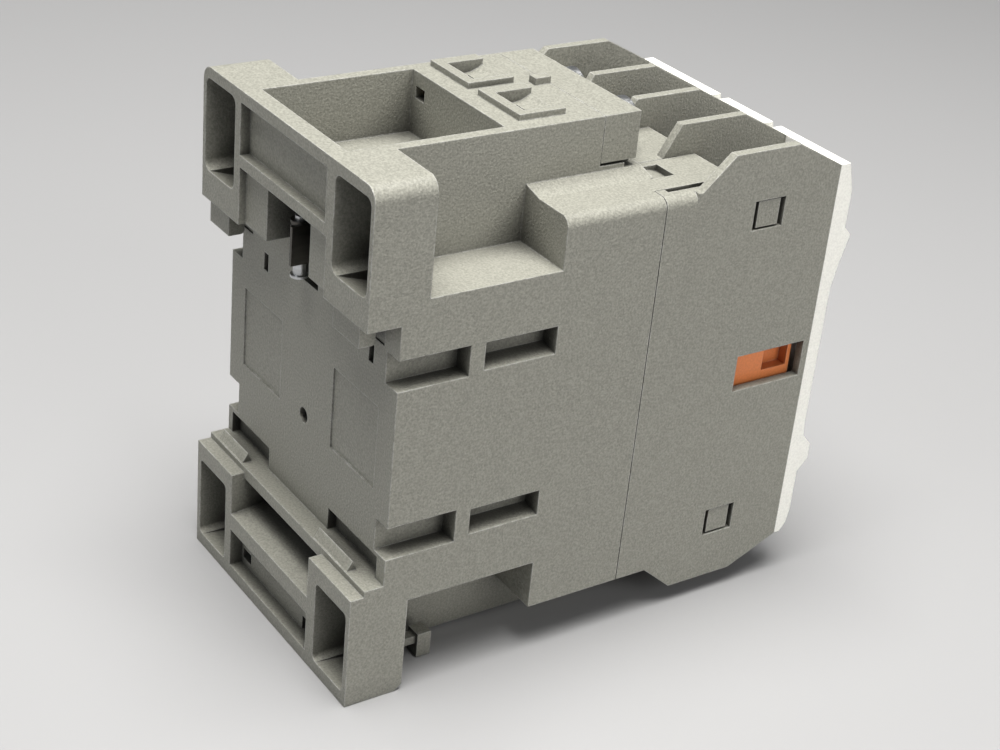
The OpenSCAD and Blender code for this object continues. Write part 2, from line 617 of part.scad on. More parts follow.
// Copper rings around the outer part of each outer pole face
module shading_rings() {
  color(COPPER) for (side = [-1, 1]) {
    inner = mid_z + side * (core_h / 2 - 2.8);
    outer = mid_z + side * (core_h / 2 + 0.7);
    low = min(inner, outer) - 0.6;
    high = max(inner, outer) + 0.6;
    difference() {
      slab(-core_t / 2 - 1.3, core_t / 2 + 1.3, pole_face_d - 2, pole_face_d - 0.8, low, high);
      slab(-core_t / 2 - 0.1, core_t / 2 + 0.1, pole_face_d - 3, pole_face_d, low + 1.2, high - 1.2);
    }
  }
}
module core_cushion() {
  color(RUBBER) slab(-core_t / 2, core_t / 2, floor_d, core_d, mid_z - core_h / 2 + 2, rail_w / 2 - 4);
}
module coil_bobbin() {
  hole_x = core_t / 2 + 0.3;
  hole_z = centre_leg / 2 + 0.3;
  tube = 1;
  color(NYLON) difference() {
    union() {
      for (d = [bobbin_d, bobbin_front - flange_t])
        slab(-flange_x, flange_x, d, d + flange_t, mid_z - flange_z, mid_z + flange_z);
      slab(-hole_x - tube, hole_x + tube, bobbin_d, bobbin_front, mid_z - hole_z - tube, mid_z + hole_z + tube);
      for (x = COIL_X)
        slab(strap_x(x) - 1.8, strap_x(x) + 1.8, bobbin_front - eps, strap_d,
          mid_z + flange_z - 4.5, mid_z + flange_z);
    }
    slab(-hole_x, hole_x, bobbin_d - 1, bobbin_front + 2, mid_z - hole_z, mid_z + hole_z);
  }
}
module coil_winding() {
  tube_x = core_t / 2 + 1.35;
  tube_z = centre_leg / 2 + 1.35;
  color(COPPER) difference() {
    front_extrude(bobbin_d + flange_t + 0.05, bobbin_front - flange_t - 0.05)
      translate([0, mid_z]) round_rect(2.5 - flange_x, flange_x - 2.5, 0.7 - flange_z, flange_z - 0.7, 3);
    slab(-tube_x, tube_x, bobbin_d, bobbin_front, mid_z - tube_z, mid_z + tube_z);
  }
}
// Brass straps from the winding up to the coil terminal block
module coil_terminals() {
  color(BRASS) for (x = COIL_X) {
    sx = strap_x(x);
    difference() {
      union() {
        slab(sx - 1.3, sx + 1.3, strap_d, strap_d + strap_t, mid_z + flange_z - 4, turn_z + strap_t);
        slab(min(sx, x) - 1.3, max(sx, x) + 1.3, strap_d, strap_d + strap_t + 2, turn_z, turn_z + strap_t);
        slab(x - 2.8, x + 2.8, strap_d + strap_t, coil_face_d, turn_z, turn_z + strap_t);
        slab(x - 3.2, x + 3.2, coil_face_d - strap_t, coil_face_d, turn_z, coil_z + 2.4);
      }
      rod_d(x, coil_z, coil_screw_r + 0.2, coil_face_d - 2, coil_face_d + 1);
    }
  }
}
module coil_clamp_washers() {
  color(ZINC) for (x = COIL_X) difference() {
    slab(x - 3.2, x + 3.2, coil_face_d + 0.9, coil_face_d + 1.7, coil_z - 2.7, coil_z + 2.4);
    rod_d(x, coil_z, coil_screw_r + 0.15, coil_face_d, coil_face_d + 3);
  }
}
// A pan head with crossed slots, its shank running back from the head
module cross_screw(x, z, r, head_r, d0, head_d, head_h) {
  difference() {
    union() {
      rod_d(x, z, r, d0, head_d + eps);
      rod_d(x, z, head_r, head_d, head_d + head_h - 0.5);
      translate([x, -(head_d + head_h - 0.5), z]) rotate([90, 0, 0])
        cylinder(r1 = head_r, r2 = head_r - 0.5, h = 0.5);
    }
    slot = head_r * 0.22;
    slab(x - slot / 2, x + slot / 2, head_d + head_h - 1.4, head_d + head_h + 1, z - head_r * 0.7, z + head_r * 0.7);
    slab(x - head_r * 0.7, x + head_r * 0.7, head_d + head_h - 1.4, head_d + head_h + 1, z - slot / 2, z + slot / 2);
  }
}
module coil_screws() {
  color(ZINC) for (x = COIL_X)
    cross_screw(x, coil_z, coil_screw_r, coil_head_r, coil_face_d - strap_t - 2.2, coil_face_d + 1.7, 2.8);
}
// A square nut with a thread bore that clears the shank
module square_nut(x, z, half, r, d0, d1) {
  difference() {
    slab(x - half, x + half, d0, d1, z - half, z + half);
    rod_d(x, z, r + pin_fit, d0 - 1, d1 + 1);
  }
}
module coil_nuts() {
  color(STEEL) for (x = COIL_X)
    square_nut(x, coil_z, coil_nut_half, coil_screw_r, coil_face_d - strap_t - 2.2, coil_face_d - strap_t);
}

// ---- Moving group ----

module armature() {
  color(IRON) difference() {
    side_extrude(-core_t / 2, core_t / 2) e_outline(armature_front, armature_back, armature_leg, -1);
    rod_x(pin_d, mid_z, pin_r + pin_fit, -core_t, core_t);
  }
}
module armature_pin() {
  half = core_t / 2 + 0.3 + lug_t;
  color(STEEL) rod_x(pin_d, mid_z, pin_r, -half, half);
}
module contact_carrier() {
  lug_x = core_t / 2 + 0.3;
  cheek_hole = base_d + 23.25;
  color(ORANGE) difference() {
    union() {
      slab(-plate_x, plate_x, plate_d, plate_d + plate_t, mid_z - 7, mid_z + 7);
      slab_pair(lug_x, lug_x + lug_t, pin_d - 3, plate_d + eps, mid_z - 4, mid_z + 4);
      slab(-post_x, post_x, plate_d, beam_d + eps, mid_z - beam_half, mid_z + beam_half);
      slab(-beam_x, beam_x, beam_d, beam_front, mid_z - beam_half, mid_z + beam_half);
      slab(-nose_x, nose_x, beam_front - eps, cover_d - 0.3, mid_z - beam_half, mid_z + beam_half);
    }
    rod_x(pin_d, mid_z, pin_r + pin_fit, -plate_x, plate_x);
    for (x = POLE_X)
      slab(x - window_half, x + window_half, window_d, window_front, mid_z - 20, mid_z + 20);
    // drive pockets for side accessories
    slab_pair(beam_x - 1.6, beam_x + 1, cheek_hole, cheek_hole + 4.5, mid_z - 1.6, mid_z + 2.2);
    // seats of the return springs
    for (side = [-1, 1]) rod_d(side * return_x, mid_z, return_r + 0.6, plate_d - 1, plate_d + 1);
  }
}
module contact_springs() {
  color(STEEL) for (x = POLE_X)
    spring_d(x, mid_z, bridge_d + bridge_t + 0.02, window_front - 0.02, spring_r, 0.5, 4.5);
}
module return_springs() {
  color(STEEL) for (side = [-1, 1])
    spring_d(side * return_x, mid_z, bobbin_front + 0.02, plate_d + 0.98, return_r, 0.6, 6);
}
module bridge(i) {
  x = POLE_X[i - 1];
  color(BRASS) {
    slab(x - bridge_w / 2, x + bridge_w / 2, bridge_d, bridge_d + bridge_t, mid_z - 3, mid_z + 3);
    for (side = [-1, 1])
      slab(x - bridge_w / 2 + 0.6, x + bridge_w / 2 - 0.6, bridge_d, bridge_d + bridge_t,
        mid_z + (side > 0 ? 3 - eps : -bridge_half), mid_z + (side > 0 ? bridge_half : eps - 3));
  }
}
module bridge_1() { bridge(1); }
module bridge_2() { bridge(2); }
module bridge_3() { bridge(3); }
module bridge_4() { bridge(4); }
module bridge_tips() {
  color(SILVER) for (x = POLE_X, side = [-1, 1])
    rod_d(x, mid_z + side * tip_z, tip_r, bridge_d - tip_t, bridge_d);
}

// ---- Terminals ----

module terminal_strip(i, dir) {
  x = POLE_X[i - 1];
  low = mid_z + (dir > 0 ? strip_in : -strip_out);
  high = mid_z + (dir > 0 ? strip_out : -strip_in);
  color(BRASS) difference() {
    slab(x - strip_half, x + strip_half, strip_d, strip_d + strip_t, low, high);
    rod_d(x, mid_z + dir * term_z, screw_r + 0.2, strip_d - 1, strip_d + strip_t + 1);
    // wire grooves across the clamping face
    for (groove = [-2.5, 2.5])
      slab(x + groove - 0.2, x + groove + 0.2, strip_d + strip_t - 0.25, strip_d + strip_t + 1,
        mid_z + dir * term_z - 3, mid_z + dir * term_z + 3);
  }
}
module line_terminal_1() { terminal_strip(1, 1); }
module line_terminal_2() { terminal_strip(2, 1); }
module line_terminal_3() { terminal_strip(3, 1); }
module line_terminal_4() { terminal_strip(4, 1); }
module load_terminal_1() { terminal_strip(1, -1); }
module load_terminal_2() { terminal_strip(2, -1); }
module load_terminal_3() { terminal_strip(3, -1); }
module load_terminal_4() { terminal_strip(4, -1); }
module fixed_tips() {
  color(SILVER) for (x = POLE_X, side = [-1, 1])
    rod_d(x, mid_z + side * tip_z, tip_r, strip_d + strip_t, strip_d + strip_t + tip_t);
}
module pole_screws(dir) {
  color(ZINC) for (x = POLE_X)
    cross_screw(x, mid_z + dir * term_z, screw_r, screw_head_r, nut_d + 0.2, clamp_d + clamp_t, head_t);
}
module line_screws() { pole_screws(1); }
module load_screws() { pole_screws(-1); }
module clamp_washers(dir) {
  color(ZINC) for (x = POLE_X) difference() {
    z = mid_z + dir * term_z;
    union() {
      slab(x - clamp_half, x + clamp_half, clamp_d, clamp_d + clamp_t, z - clamp_half, z + clamp_half);
      // turned-down sides that keep the wire under the washer
      slab_pair_at(x, clamp_half - 0.8, clamp_half, clamp_d - 1, clamp_d + eps, z - clamp_half, z + clamp_half);
    }
    rod_d(x, z, screw_r + 0.15, clamp_d - 2, clamp_d + clamp_t + 1);
  }
}
module slab_pair_at(x, a, b, d0, d1, z0, z1) { translate([x, 0, 0]) slab_pair(a, b, d0, d1, z0, z1); }
module line_clamp_washers() { clamp_washers(1); }
module load_clamp_washers() { clamp_washers(-1); }
module terminal_nuts() {
  color(STEEL) for (x = POLE_X, dir = [-1, 1])
    square_nut(x, mid_z + dir * term_z, nut_half, screw_r, nut_d, nut_d + nut_t);
}
// Steel plates that split the arc above and below the contacts
module arc_plates() {
  color(STEEL) for (x = POLE_X, dir = [-1, 1], step = [0, 1]) {
    z = mid_z + dir * (10.2 + 1.5 * step);
    slab(x - bay_w / 2, x + bay_w / 2, strip_d + strip_t + 2, front_d - 3.5, z - 0.3, z + 0.3);
  }
}

// ---- Rail spring ----

// A strip bent to a C: its web stands beside the stud, and the stud slides in its two ends
module rail_spring_saddle() {
  tab_r = 1.4;
  color(STEEL) difference() {
    union() {
      slab(saddle_x, saddle_x + saddle_t, saddle_rear, recess_d, saddle_low, saddle_top);
      for (z = [saddle_low, saddle_top - saddle_t]) {
        slab(saddle_x + eps, stud_x + tab_r, stud_d, recess_d, z, z + saddle_t);
        translate([stud_x, -stud_d, z]) cylinder(r = tab_r, h = saddle_t);
      }
    }
    translate([stud_x, -stud_d, saddle_low - 1]) cylinder(r = stud_r + pin_fit, h = 9);
  }
}
// A sprung stud whose head presses on the rail's upper edge; its collar stops on the saddle
module rail_stud() {
  floor_z = saddle_low + saddle_t + close_gap;
  color(ZINC) translate([stud_x, -stud_d, 0]) {
    translate([0, 0, stud_low]) cylinder(r = stud_head_r, h = stud_head_t);
    translate([0, 0, stud_low + eps]) cylinder(r = stud_r, h = saddle_top + 0.6 - stud_low);
    translate([0, 0, floor_z]) cylinder(r = stud_head_r, h = 0.4);
  }
}
module rail_spring() {
  base = saddle_low + saddle_t + close_gap + 0.42;
  color(STEEL) translate([stud_x, -stud_d, base])
    coil_spring(saddle_top - saddle_t - 0.02 - base, 1.2, 0.3, 3.5);
}

base_housing();
front_housing();
front_cover();
coil_terminal_block();
fixed_core();
shading_rings();
core_cushion();
coil_bobbin();
coil_winding();
coil_terminals();
coil_clamp_washers();
coil_screws();
coil_nuts();
armature();
armature_pin();
contact_carrier();
contact_springs();
return_springs();
bridge_1();
bridge_2();
bridge_3();
bridge_4();
bridge_tips();
line_terminal_1();
line_terminal_2();
line_terminal_3();
line_terminal_4();
load_terminal_1();
load_terminal_2();
load_terminal_3();
load_terminal_4();
fixed_tips();
line_screws();
load_screws();
line_clamp_washers();
load_clamp_washers();
terminal_nuts();
arc_plates();
rail_spring_saddle();
rail_stud();
rail_spring();
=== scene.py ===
"""DIN rail contactor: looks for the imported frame, laid out as an add-on and run as a script."""
import math

import bmesh
import bpy
from mathutils import Euler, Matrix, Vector


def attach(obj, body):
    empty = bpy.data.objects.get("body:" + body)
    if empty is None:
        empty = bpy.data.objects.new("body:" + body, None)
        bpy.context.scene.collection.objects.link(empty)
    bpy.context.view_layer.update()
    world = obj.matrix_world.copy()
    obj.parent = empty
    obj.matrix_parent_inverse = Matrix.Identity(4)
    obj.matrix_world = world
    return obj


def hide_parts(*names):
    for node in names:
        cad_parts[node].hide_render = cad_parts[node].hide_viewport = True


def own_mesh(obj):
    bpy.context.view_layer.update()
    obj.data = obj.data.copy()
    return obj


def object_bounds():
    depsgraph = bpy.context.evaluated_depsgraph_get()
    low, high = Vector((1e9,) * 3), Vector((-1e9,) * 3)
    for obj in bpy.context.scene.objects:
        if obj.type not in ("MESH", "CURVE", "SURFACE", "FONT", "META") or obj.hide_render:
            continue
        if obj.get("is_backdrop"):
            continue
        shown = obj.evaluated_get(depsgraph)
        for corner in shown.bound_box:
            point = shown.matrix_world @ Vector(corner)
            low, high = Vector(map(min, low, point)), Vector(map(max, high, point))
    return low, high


bl_info = {
    "name": "DIN rail contactor",
    "version": (1, 0, 0),
    "blender": (4, 5, 0),
    "location": "3D View > Sidebar > Contactor",
    "description": "Finishes, springs, coil and studio for a DIN rail contactor",
    "category": "Object",
}

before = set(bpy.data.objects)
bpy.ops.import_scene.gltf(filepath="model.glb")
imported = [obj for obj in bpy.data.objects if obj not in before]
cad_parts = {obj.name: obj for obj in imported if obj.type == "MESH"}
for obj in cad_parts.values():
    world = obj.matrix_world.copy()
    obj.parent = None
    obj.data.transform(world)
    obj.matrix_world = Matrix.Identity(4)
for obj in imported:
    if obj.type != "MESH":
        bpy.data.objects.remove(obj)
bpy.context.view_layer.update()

SENSOR_WIDTH = 36.0      # millimetres, as the lens is
NEAR_CLIP = 0.01         # nearest thing the camera sees
FLOOR_SIZE = 6.0
FLOOR_GAP = 0.00005      # floor below the lowest point of the object
AIR_COLOUR = (0.90, 0.94, 1.0)
AIR_STRENGTH = 0.10
METAL_EDGE = 0.00012     # radius that metal edges appear to have
BEVEL_SAMPLES = 6
HOLLOW_REACH = 0.009     # how far a hollow's walls shade it
HOLLOW_SAMPLES = 8
BAND_SCALE = 0.314       # wave texture: its scale times the width of one band
WIRE_SIDES = 12          # sides of a spring wire's section
TURN_STEPS = 32          # rings in one turn of a spring
CLOSED_TURNS = 1.0       # close turns at each end of a spring
CLOSE_PITCH = 1.02       # rise of a close turn, in wire diameters
SAME_POINT = 1e-6        # mesh points nearer than this are one
FLAT_FACING = 0.995      # facing of the rounded normal on a flat face
EDGE_FACING = 0.80       # facing of the rounded normal on an edge


# ---------------------------------------------------------------- settings

def colour_setting(name, description, default):
    return bpy.props.FloatVectorProperty(
        name=name, description=description, subtype="COLOR", size=3, min=0.0, max=1.0,
        default=default)


def length_setting(name, description, default, low, high):
    return bpy.props.FloatProperty(
        name=name, description=description, default=default, min=low, max=high, unit="LENGTH",
        precision=5)


def power_setting(name, description, default):
    return bpy.props.FloatProperty(
        name=name, description=description, default=default, min=0.0, unit="POWER")


class ContactorMoulding(bpy.types.PropertyGroup):
    """Colours and grain of the plastic mouldings"""
    casing: colour_setting("Casing", "Colour of the grey casing", (0.240, 0.238, 0.205))
    cover: colour_setting("Cover", "Colour of the cream cover", (0.86, 0.855, 0.80))
    carrier: colour_setting("Carrier", "Colour of the contact carrier", (0.78, 0.245, 0.08))
    bobbin: colour_setting("Bobbin", "Colour of the coil's bobbin", (0.030, 0.031, 0.034))
    grain: length_setting("Grain", "Width of one pit of the spark-eroded grain",
                          0.00035, 0.00005, 0.002)
    edge: length_setting("Edge round", "Radius that the moulded edges appear to have",
                         0.00022, 0.0, 0.002)


class ContactorMetal(bpy.types.PropertyGroup):
    """Colours of the metals and sizes of the spring wire"""
    zinc: colour_setting("Zinc", "Colour of zinc-plated steel", (0.56, 0.57, 0.58))
    brass: colour_setting("Brass", "Colour of the terminal strips", (0.66, 0.47, 0.20))
    copper: colour_setting("Copper", "Colour of the winding's wire", (0.60, 0.24, 0.11))
    sheet: length_setting("Lamination", "Thickness of one sheet of the core",
                          0.0005, 0.0002, 0.002)
    contact_wire: length_setting("Contact spring wire", "Diameter of a contact spring's wire",
                                 0.0005, 0.0002, 0.001)
    return_wire: length_setting("Return spring wire", "Diameter of a return spring's wire",
                                0.0006, 0.0002, 0.001)
    rail_wire: length_setting("Rail spring wire", "Diameter of the rail spring's wire",
                              0.0003, 0.0002, 0.001)


class ContactorStudio(bpy.types.PropertyGroup):
    """Floor, lights and camera"""
    floor: colour_setting("Floor", "Colour of the floor", (0.31, 0.31, 0.315))
    camera_place: bpy.props.FloatVectorProperty(
        name="Camera", description="Place of the camera", subtype="TRANSLATION", unit="LENGTH",
        size=3, default=(-0.196760, 0.111592, 0.126638))
    camera_turn: bpy.props.FloatVectorProperty(
        name="Camera turn", description="Turn of the camera", subtype="EULER", size=3,
        default=(math.radians(61.56195), math.radians(-5.02202), math.radians(-123.34089)))
    lens: bpy.props.FloatProperty(
        name="Lens", description="Focal length of the lens in millimetres",
        default=69.297, min=10.0, max=300.0)
    key: power_setting("Key light", "Power of the large soft light", 10.2)
    fill: power_setting("Fill light", "Power of the fill light", 1.7)


# ---------------------------------------------------------------- node helpers

def new_material(name):
    """A material with nothing in it but its output and a principled shader."""
    material = bpy.data.materials.new(name)
    material.use_nodes = True
    tree = material.node_tree
    tree.nodes.clear()
    output = tree.nodes.new("ShaderNodeOutputMaterial")
    output.location = (900, 0)
    shader = tree.nodes.new("ShaderNodeBsdfPrincipled")
    shader.location = (600, 0)
    tree.links.new(shader.outputs["BSDF"], output.inputs["Surface"])
    return material, tree, shader


def add_node(tree, kind, place, **settings):
    """A node at its place in the editor, with its settings."""
    node = tree.nodes.new(kind)
    node.location = place
    for key, value in settings.items():
        setattr(node, key, value)
    return node


def set_inputs(node, **values):
    """Sets a node's sockets; an underscore in a name stands for a space in the socket's."""
    for key, value in values.items():
        node.inputs[key.replace("_", " ")].default_value = value


def object_place(tree, scale=(1, 1, 1)):
    """Object coordinates, stretched by scale."""
    where = add_node(tree, "ShaderNodeTexCoord", (-1100, 0))
    mapping = add_node(tree, "ShaderNodeMapping", (-900, 0))
    mapping.inputs["Scale"].default_value = scale
    tree.links.new(where.outputs["Object"], mapping.inputs["Vector"])
    return mapping.outputs["Vector"]


def noise(tree, vector, scale, detail, place, roughness=0.5):
    """A noise texture's value."""
    node = add_node(tree, "ShaderNodeTexNoise", place)
    set_inputs(node, Scale=scale, Detail=detail, Roughness=roughness)
    tree.links.new(vector, node.inputs["Vector"])
    return node.outputs["Fac"]


def ranged(tree, value, low, high, to_low, to_high, place):
    """A value carried from one range to another, and kept inside it."""
    node = add_node(tree, "ShaderNodeMapRange", place)
    set_inputs(node, From_Min=low, From_Max=high, To_Min=to_low, To_Max=to_high)
    tree.links.new(value, node.inputs["Value"])
    return node.outputs["Result"]


def blended(tree, factor, first, second, place):
    """Two colours mixed by a factor; either may be a socket or a plain colour."""
    node = add_node(tree, "ShaderNodeMix", place, data_type="RGBA", blend_type="MIX")
    if hasattr(factor, "is_linked"):
        tree.links.new(factor, node.inputs[0])
    else:
        node.inputs[0].default_value = factor
    for socket, colour in ((node.inputs[6], first), (node.inputs[7], second)):
        if hasattr(colour, "is_linked"):
            tree.links.new(colour, socket)
        else:
            socket.default_value = (*colour, 1.0)
    return node.outputs[2]


def edge_mask(tree, radius, place):
    """0 on a flat face and about 1 where an edge turns, from the rounded normal."""
    x, y = place
    plain = add_node(tree, "ShaderNodeNewGeometry", (x, y - 200))
    meet = add_node(tree, "ShaderNodeVectorMath", (x + 200, y), operation="DOT_PRODUCT")
    tree.links.new(soft_edge(tree, radius, place), meet.inputs[0])
    tree.links.new(plain.outputs["Normal"], meet.inputs[1])
    return ranged(tree, meet.outputs["Value"], FLAT_FACING, EDGE_FACING, 0.0, 1.0, (x + 400, y))


def painted_hollow_shade(tree, place):
    """0 on open faces and towards 1 in hollows and corners, where painted shade darkens them."""
    x, y = place
    node = add_node(tree, "ShaderNodeAmbientOcclusion", place, samples=HOLLOW_SAMPLES)
    set_inputs(node, Distance=HOLLOW_REACH)
    return ranged(tree, node.outputs["AO"], 0.60, 0.28, 0.0, 1.0, (x + 200, y))


def bump(tree, height, strength, distance, place, under=None):
    """A normal tilted by a height, on top of the normal under it."""
    node = add_node(tree, "ShaderNodeBump", place)
    set_inputs(node, Strength=strength, Distance=distance)
    tree.links.new(height, node.inputs["Height"])
    if under is not None:
        tree.links.new(under, node.inputs["Normal"])
    return node.outputs["Normal"]


def soft_edge(tree, radius, place):
    """A normal that turns smoothly over an edge."""
    node = add_node(tree, "ShaderNodeBevel", place, samples=BEVEL_SAMPLES)
    set_inputs(node, Radius=radius)
    return node.outputs["Normal"]


def shade(colour, factor):
    """A colour made lighter or darker."""
    return tuple(min(1.0, c * factor) for c in colour)


# ---------------------------------------------------------------- finishes

def moulded_plastic(name, colour, grain, edge, rough, relief, edge_wear_and_highlight, speckle=0.10, hollow_shade_strength=0.4):
    """Injection moulding with a spark-eroded grain, faint flow marks, paler edges that are partly
    wear and partly painted highlight, and painted shade in the hollows.
    """
    material, tree, shader = new_material(name)
    place = object_place(tree)
    pits = noise(tree, place, 1.0 / grain, 2.0, (-650, -300), 0.55)
    flecks = noise(tree, place, 1.1 / grain, 2.0, (-650, -100), 0.6)
    clouds = noise(tree, place, 45.0, 4.0, (-650, 150), 0.55)
    tone = blended(tree, ranged(tree, clouds, 0.3, 0.7, 0.0, 1.0, (-450, 150)),
                   shade(colour, 0.96), shade(colour, 1.04), (-250, 150))
    speck = blended(tree, ranged(tree, flecks, 0.35, 0.65, 0.0, 1.0, (-450, -100)),
                    shade(colour, 1 - speckle), shade(colour, 1 + speckle), (-250, -50))
    mixed = blended(tree, 0.6, tone, speck, (0, 100))
    # rubbed edges and a painted highlight show as broken pale lines
    chips = ranged(tree, noise(tree, place, 700.0, 3.0, (-900, 300), 0.7),
                   0.42, 0.60, 0.25, 1.0, (-700, 300))
    wear_highlight_product = add_node(tree, "ShaderNodeMath", (-400, 450), operation="MULTIPLY")
    tree.links.new(edge_mask(tree, edge * 1.6, (-900, 500)), wear_highlight_product.inputs[0])
    tree.links.new(chips, wear_highlight_product.inputs[1])
    wear_highlight_rim = ranged(tree, wear_highlight_product.outputs["Value"], 0.0, 1.0, 0.0, edge_wear_and_highlight, (-250, 500))
    pale = tuple((c + 0.9) / 2 for c in colour)
    wear_highlight_colour = blended(tree, wear_highlight_rim, mixed, pale, (150, 100))
    # painted shade darkens the hollows
    hollow_shade_amount = ranged(tree, painted_hollow_shade(tree, (-900, 800)), 0.0, 1.0, 0.0, hollow_shade_strength, (-250, 700))
    tree.links.new(blended(tree, hollow_shade_amount, wear_highlight_colour, shade(colour, 0.10), (350, 100)),
                   shader.inputs["Base Color"])
    tree.links.new(ranged(tree, flecks, 0.3, 0.7, rough - 0.06, rough + 0.06, (0, -250)),
                   shader.inputs["Roughness"])
    set_inputs(shader, Specular_IOR_Level=0.42)
    rounded = soft_edge(tree, edge, (50, -500))
    tree.links.new(bump(tree, pits, relief, grain * 0.5, (300, -400), rounded),
                   shader.inputs["Normal"])
    return material


def rolled_metal(name, colour, rough):
    """Bare or plated metal with fine scratches and soft blotches."""
    material, tree, shader = new_material(name)
    place = object_place(tree, (1.0, 1.0, 6.0))
    scratches = noise(tree, place, 1400.0, 3.0, (-650, -200), 0.7)
    blotches = noise(tree, place, 260.0, 3.0, (-650, 100), 0.5)
    tone = blended(tree, ranged(tree, blotches, 0.3, 0.7, 0.0, 1.0, (-450, 100)),
                   shade(colour, 0.82), shade(colour, 1.10), (-200, 100))
    tree.links.new(tone, shader.inputs["Base Color"])
    tree.links.new(ranged(tree, scratches, 0.3, 0.7, rough - 0.08, rough + 0.12, (0, -100)),
                   shader.inputs["Roughness"])
    set_inputs(shader, Metallic=1.0)
    rounded = soft_edge(tree, METAL_EDGE, (50, -400))
    tree.links.new(bump(tree, scratches, 0.25, 0.00002, (300, -300), rounded),
                   shader.inputs["Normal"])
    return material


def stacked_sheets(name, colour, sheet):
    """Laminated core: thin sheets side by side across the width, with dark gaps and some rust."""
    material, tree, shader = new_material(name)
    place = object_place(tree)
    wave = add_node(tree, "ShaderNodeTexWave", (-650, 200), wave_type="BANDS", bands_direction="X",
                    wave_profile="SIN")
    set_inputs(wave, Scale=BAND_SCALE / sheet, Distortion=0.0)
    tree.links.new(place, wave.inputs["Vector"])
    gap = ranged(tree, wave.outputs["Fac"], 0.02, 0.25, 0.0, 1.0, (-400, 200))
    rust = noise(tree, place, 220.0, 4.0, (-650, -100), 0.6)
    tone = blended(tree, ranged(tree, rust, 0.45, 0.75, 0.0, 1.0, (-400, -100)),
                   colour, (0.30, 0.21, 0.14), (-200, -50))
    tree.links.new(blended(tree, gap, shade(colour, 0.25), tone, (100, 100)),
                   shader.inputs["Base Color"])
    tree.links.new(ranged(tree, rust, 0.3, 0.7, 0.34, 0.55, (100, -200)),
                   shader.inputs["Roughness"])
    set_inputs(shader, Metallic=0.85)
    rounded = soft_edge(tree, METAL_EDGE, (100, -400))
    tree.links.new(bump(tree, gap, 0.5, 0.00005, (350, -300), rounded), shader.inputs["Normal"])
    return material


def wound_wire(name, colour, pitch):
    """Rows of enamelled wire, round the winding, under a thin clear varnish."""
    material, tree, shader = new_material(name)
    place = object_place(tree)
    wave = add_node(tree, "ShaderNodeTexWave", (-650, 200), wave_type="BANDS", bands_direction="Y",
                    wave_profile="SIN")
    set_inputs(wave, Scale=BAND_SCALE / pitch, Distortion=0.6, Detail=1.0, Detail_Scale=30.0)
    tree.links.new(place, wave.inputs["Vector"])
    clouds = noise(tree, place, 120.0, 3.0, (-650, -100))
    tone = blended(tree, clouds, shade(colour, 0.75), shade(colour, 1.15), (-300, -50))
    tree.links.new(blended(tree, wave.outputs["Fac"], shade(colour, 0.3), tone, (0, 100)),
                   shader.inputs["Base Color"])
    tree.links.new(ranged(tree, clouds, 0.3, 0.7, 0.22, 0.38, (0, -200)),
                   shader.inputs["Roughness"])
    set_inputs(shader, Metallic=0.6, Coat_Weight=0.5, Coat_Roughness=0.2)
    tree.links.new(bump(tree, wave.outputs["Fac"], 0.8, 0.00008, (300, -300)),
                   shader.inputs["Normal"])
    return material


def soft_rubber(name):
    """Black rubber with a faint bloom."""
    material, tree, shader = new_material(name)
    place = object_place(tree)
    bloom = noise(tree, place, 180.0, 4.0, (-650, 100), 0.6)
    tree.links.new(blended(tree, bloom, (0.012, 0.012, 0.012), (0.05, 0.05, 0.048), (-200, 100)),
                   shader.inputs["Base Color"])
    tree.links.new(ranged(tree, bloom, 0.3, 0.7, 0.62, 0.85, (0, -100)),
                   shader.inputs["Roughness"])
    pores = noise(tree, place, 2500.0, 2.0, (-650, -300))
    tree.links.new(bump(tree, pores, 0.3, 0.00005, (300, -300)), shader.inputs["Normal"])
    return material


def studio_floor(name, colour):
    """Plain pale floor with a barely seen mottle."""
    material, tree, shader = new_material(name)
    place = object_place(tree)
    mottle = noise(tree, place, 9.0, 3.0, (-650, 0))
    tree.links.new(blended(tree, mottle, shade(colour, 0.985), shade(colour, 1.01), (-200, 0)),
                   shader.inputs["Base Color"])
    set_inputs(shader, Roughness=0.7)
    return material


def cover_object(piece, material):
    """Gives one material to every slot of a piece."""
    piece.data.materials.clear()
    piece.data.materials.append(material)


def finish_nodes(names, material):
    """Gives one material to CAD nodes."""
    for name in names:
        cover_object(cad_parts[name], material)


# ---------------------------------------------------------------- mesh helpers

def deselect_all():
    bpy.ops.object.select_all(action="DESELECT")


def only(piece):
    """Selects one piece and makes it active."""
    deselect_all()
    piece.hide_set(False)
    piece.select_set(True)
    bpy.context.view_layer.objects.active = piece


def settle(piece, name, body, material):
    """Puts a piece's place into its mesh, names it, and hangs it on its body with its finish."""
    only(piece)
    bpy.ops.object.transform_apply(location=True, rotation=True, scale=True)
    piece.name = name
    piece.data.name = name
    cover_object(piece, material)
    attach(piece, body)
    return piece


